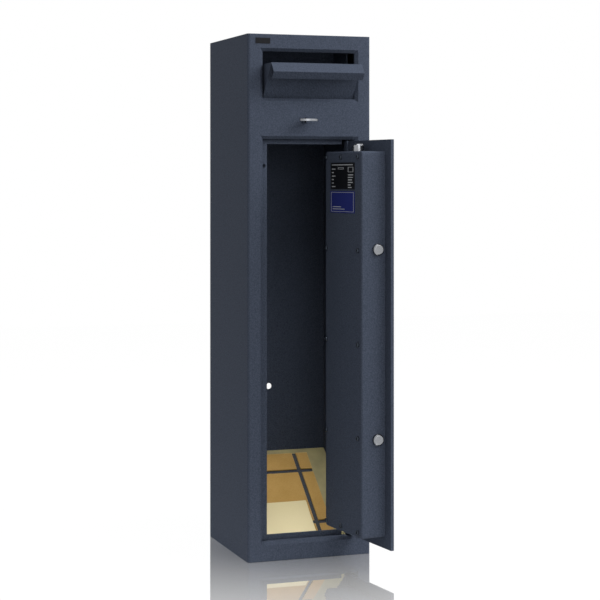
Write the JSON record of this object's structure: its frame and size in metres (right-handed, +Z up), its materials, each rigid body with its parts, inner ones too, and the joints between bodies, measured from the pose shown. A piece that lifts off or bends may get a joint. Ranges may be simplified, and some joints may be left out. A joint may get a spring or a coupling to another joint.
{
  "type": "drop safe with deposit drawer",
  "caption": "Tall narrow drop safe: a tilting deposit hopper above a long hinged door with bolt work, keyed locks and a lined ramp inside.",
  "frame": {"origin": "middle of the cabinet underside", "axes": "+X to the right seen from the front, +Y to the back, +Z up; the door front and the deposit hopper face -Y"},
  "size_m": [0.2989, 0.4944, 1.2],
  "materials": {
    "safe_paint": "fine textured powder coat, satin",
    "dark_paint": "dark satin paint",
    "bright_steel": "bright turned steel",
    "plain_steel": "plain dull steel",
    "zinc_plate": "olive yellow passivated sheet steel, matt",
    "lining_board": "tan wood-fibre board, matt",
    "pad": "pale felt pad",
    "black_plate": "black blank plate",
    "blue_plate": "dark blue blank plate"
  },
  "bodies": {
    "cabinet": {"cabinet_body": "safe_paint", "back_panel": "safe_paint", "door_stop_frame": "safe_paint", "hinge_pin_top": "plain_steel", "hinge_pin_bottom": "plain_steel", "hopper_cheek_left": "safe_paint", "hopper_cheek_right": "safe_paint", "hopper_pivot_rod": "plain_steel", "curved_baffle": "dark_paint", "hopper_lock_case": "plain_steel", "hopper_lock_rosette": "bright_steel", "front_badge": "black_plate", "ramp_plate": "zinc_plate", "ramp_backing": "dark_paint", "ramp_board_upper_left": "lining_board", "ramp_board_upper_right": "lining_board", "ramp_board_middle_left": "lining_board", "ramp_board_middle_right": "lining_board", "ramp_board_lower_left": "lining_board", "ramp_board_lower_right": "lining_board", "landing_pad": "pad"},
    "door": {"door_plate": "safe_paint", "hinge_block_top": "safe_paint", "hinge_block_bottom": "safe_paint", "bolt_box": "safe_paint", "bolt_box_cover": "safe_paint", "cover_screw_01": "plain_steel", "cover_screw_02": "plain_steel", "cover_screw_03": "plain_steel", "cover_screw_04": "plain_steel", "cover_screw_05": "plain_steel", "cover_screw_06": "plain_steel", "cover_screw_07": "plain_steel", "cover_screw_08": "plain_steel", "cover_screw_09": "plain_steel", "cover_screw_10": "plain_steel", "cover_screw_11": "plain_steel", "cover_screw_12": "plain_steel", "rating_plate": "black_plate", "notice_plate": "blue_plate", "door_lock_case": "plain_steel", "door_escutcheon": "bright_steel", "handle_rosette": "bright_steel"},
    "side_bolt_slide": {"bolt_bar": "plain_steel", "side_bolt_upper": "bright_steel", "side_bolt_lower": "bright_steel"},
    "top_bolt_slide": {"top_bolt": "bright_steel", "top_bolt_rod": "plain_steel"},
    "handle": {"cam_disc": "plain_steel", "handle_spindle": "plain_steel", "door_handle": "bright_steel"},
    "door_lock_bolt_slide": {"door_lock_bolt": "bright_steel"},
    "door_key_turn": {"door_key": "bright_steel"},
    "hopper": {"hopper_trough": "safe_paint", "hopper_side_left": "safe_paint", "hopper_side_right": "safe_paint", "hopper_catch": "plain_steel"},
    "hopper_lock_bolt_slide": {"hopper_lock_bolt": "bright_steel"},
    "hopper_key_turn": {"hopper_key": "bright_steel"}
  },
  "joints": [
    {"name": "door_swing", "type": "hinge", "parent": "cabinet", "child": "door", "pos_m": [0.1005, -0.1345, 0.5025], "axis": [0, 0, 1], "range_deg": [-96.6, 13.4]},
    {"name": "handle_turn", "type": "hinge", "parent": "door", "child": "handle", "pos_m": [0.11751, -0.2337, 0.5025], "axis": [0.9934, 0.1149, 0], "range_deg": [0, 90.05]},
    {"name": "side_bolts_throw", "type": "slide", "parent": "door", "child": "side_bolt_slide", "axis": [0.1149, -0.9934, 0], "range_m": [0, 0.014]},
    {"name": "top_bolt_throw", "type": "slide", "parent": "door", "child": "top_bolt_slide", "axis": [0, 0, 1], "range_m": [0, 0.01401]},
    {"name": "door_key_turn", "type": "hinge", "parent": "door", "child": "door_key_turn", "pos_m": [0.11407, -0.2039, 0.6], "axis": [-0.9934, -0.1149, 0], "range_deg": [0, 90.05]},
    {"name": "door_lock_bolt_throw", "type": "slide", "parent": "door", "child": "door_lock_bolt_slide", "axis": [0.1149, -0.9934, 0], "range_m": [0, 0.009]},
    {"name": "hopper_swing", "type": "hinge", "parent": "cabinet", "child": "hopper", "pos_m": [0, -0.1315, 1.0615], "axis": [1, 0, 0], "range_deg": [-39.2, 0]},
    {"name": "hopper_key_turn", "type": "hinge", "parent": "cabinet", "child": "hopper_key_turn", "pos_m": [-0.012, -0.152, 1.0045], "axis": [0, 1, 0], "range_deg": [0, 90.05]},
    {"name": "hopper_lock_bolt_throw", "type": "slide", "parent": "cabinet", "child": "hopper_lock_bolt_slide", "axis": [1, 0, 0], "range_m": [0, 0.012]}
  ],
  "couplings": [
    {"joint": "handle_turn", "follows": "side_bolts_throw", "rad_per_m": 112.2},
    {"joint": "top_bolt_throw", "follows": "side_bolts_throw", "ratio": 1},
    {"joint": "door_key_turn", "follows": "door_lock_bolt_throw", "rad_per_m": 174.53},
    {"joint": "hopper_key_turn", "follows": "hopper_lock_bolt_throw", "rad_per_m": 130.9}
  ]
}
